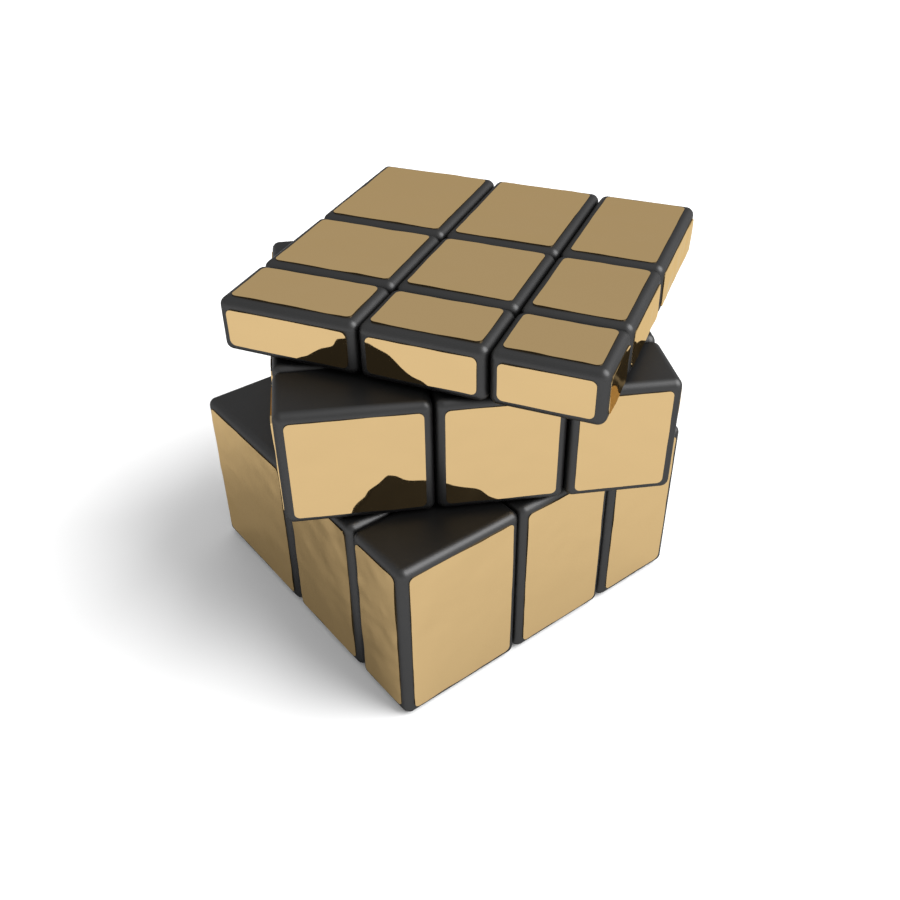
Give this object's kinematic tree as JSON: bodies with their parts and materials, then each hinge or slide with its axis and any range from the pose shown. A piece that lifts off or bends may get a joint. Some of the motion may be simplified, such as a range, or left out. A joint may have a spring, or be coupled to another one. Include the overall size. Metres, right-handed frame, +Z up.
{
  "type": "mirror block cube",
  "caption": "Twisty puzzle cube whose slabs differ in thickness, with gold mirror plates on black cubies; its top and bottom layers are each turned a little.",
  "frame": {"origin": "on the turning axis of the top and bottom layers, at the flat underside of the bottom centre's mirror plate", "axes": "+Z up along the turning axis; the middle layer's front faces -Y and its right side faces +X"},
  "size_m": [0.0833, 0.0796, 0.0575],
  "materials": {
    "black_plastic": "satin moulded black",
    "hub_plastic": "plain moulded black, greased",
    "core_plastic": "white moulded",
    "gold_mirror": "gold mirror foil, slightly wavy",
    "screw_steel": "zinc plated",
    "washer_steel": "stamped",
    "spring_steel": "drawn wire"
  },
  "bodies": {
    "middle_layer": {"core": "core_plastic", "tension_screws": "screw_steel", "side_washers": "washer_steel", "edge_middle_left_front": "black_plastic", "edge_middle_left_back": "black_plastic", "edge_middle_right_front": "black_plastic", "edge_middle_right_back": "black_plastic", "middle_edge_feet": "hub_plastic", "middle_edge_mirrors": "gold_mirror", "spring_left": "spring_steel", "spring_right": "spring_steel", "spring_front": "spring_steel", "spring_back": "spring_steel"},
    "top_spring_seat": {"washer_top": "washer_steel", "spring_top": "spring_steel"},
    "top_layer": {"edge_top_left": "black_plastic", "edge_top_right": "black_plastic", "edge_top_front": "black_plastic", "edge_top_back": "black_plastic", "corner_top_left_front": "black_plastic", "corner_top_left_back": "black_plastic", "corner_top_right_front": "black_plastic", "corner_top_right_back": "black_plastic", "centre_cap_top": "black_plastic", "centre_hub_top": "hub_plastic", "top_edge_feet": "hub_plastic", "top_corner_feet": "hub_plastic", "top_face_mirrors": "gold_mirror", "top_side_mirrors": "gold_mirror"},
    "bottom_spring_seat": {"washer_bottom": "washer_steel", "spring_bottom": "spring_steel"},
    "bottom_layer": {"edge_bottom_left": "black_plastic", "edge_bottom_right": "black_plastic", "edge_bottom_front": "black_plastic", "edge_bottom_back": "black_plastic", "corner_bottom_left_front": "black_plastic", "corner_bottom_left_back": "black_plastic", "corner_bottom_right_front": "black_plastic", "corner_bottom_right_back": "black_plastic", "centre_cap_bottom": "black_plastic", "centre_hub_bottom": "hub_plastic", "bottom_edge_feet": "hub_plastic", "bottom_corner_feet": "hub_plastic", "bottom_face_mirrors": "gold_mirror", "bottom_side_mirrors": "gold_mirror"},
    "left_centre": {"centre_hub_left": "hub_plastic", "centre_cap_left": "black_plastic", "centre_mirror_left": "gold_mirror"},
    "right_centre": {"centre_hub_right": "hub_plastic", "centre_cap_right": "black_plastic", "centre_mirror_right": "gold_mirror"},
    "front_centre": {"centre_hub_front": "hub_plastic", "centre_cap_front": "black_plastic", "centre_mirror_front": "gold_mirror"},
    "back_centre": {"centre_hub_back": "hub_plastic", "centre_cap_back": "black_plastic", "centre_mirror_back": "gold_mirror"}
  },
  "joints": [
    {"name": "top_layer_turn", "type": "hinge", "parent": "middle_layer", "child": "top_spring_seat", "pos_m": [0, 0, 0.0392], "axis": [0, 0, 1], "continuous": true},
    {"name": "top_layer_lift", "type": "slide", "parent": "top_spring_seat", "child": "top_layer", "axis": [0, 0, 1], "range_m": [0, 0.0005], "stiffness_N_per_m": 1500, "springref_m": -0.0015, "deforming": ["spring_top"]},
    {"name": "bottom_layer_turn", "type": "hinge", "parent": "middle_layer", "child": "bottom_spring_seat", "pos_m": [0, 0, 0.0392], "axis": [0, 0, 1], "continuous": true},
    {"name": "bottom_layer_lift", "type": "slide", "parent": "bottom_spring_seat", "child": "bottom_layer", "axis": [0, 0, -1], "range_m": [0, 0.0005], "stiffness_N_per_m": 1500, "springref_m": -0.0015, "deforming": ["spring_bottom"]},
    {"name": "left_centre_pull", "type": "slide", "parent": "middle_layer", "child": "left_centre", "axis": [-1, 0, 0], "range_m": [0, 0.0005], "stiffness_N_per_m": 1500, "springref_m": -0.0015, "deforming": ["spring_left"]},
    {"name": "right_centre_pull", "type": "slide", "parent": "middle_layer", "child": "right_centre", "axis": [1, 0, 0], "range_m": [0, 0.0005], "stiffness_N_per_m": 1500, "springref_m": -0.0015, "deforming": ["spring_right"]},
    {"name": "front_centre_pull", "type": "slide", "parent": "middle_layer", "child": "front_centre", "axis": [0, -1, 0], "range_m": [0, 0.0005], "stiffness_N_per_m": 1500, "springref_m": -0.0015, "deforming": ["spring_front"]},
    {"name": "back_centre_pull", "type": "slide", "parent": "middle_layer", "child": "back_centre", "axis": [0, 1, 0], "range_m": [0, 0.0005], "stiffness_N_per_m": 1500, "springref_m": -0.0015, "deforming": ["spring_back"]}
  ]
}
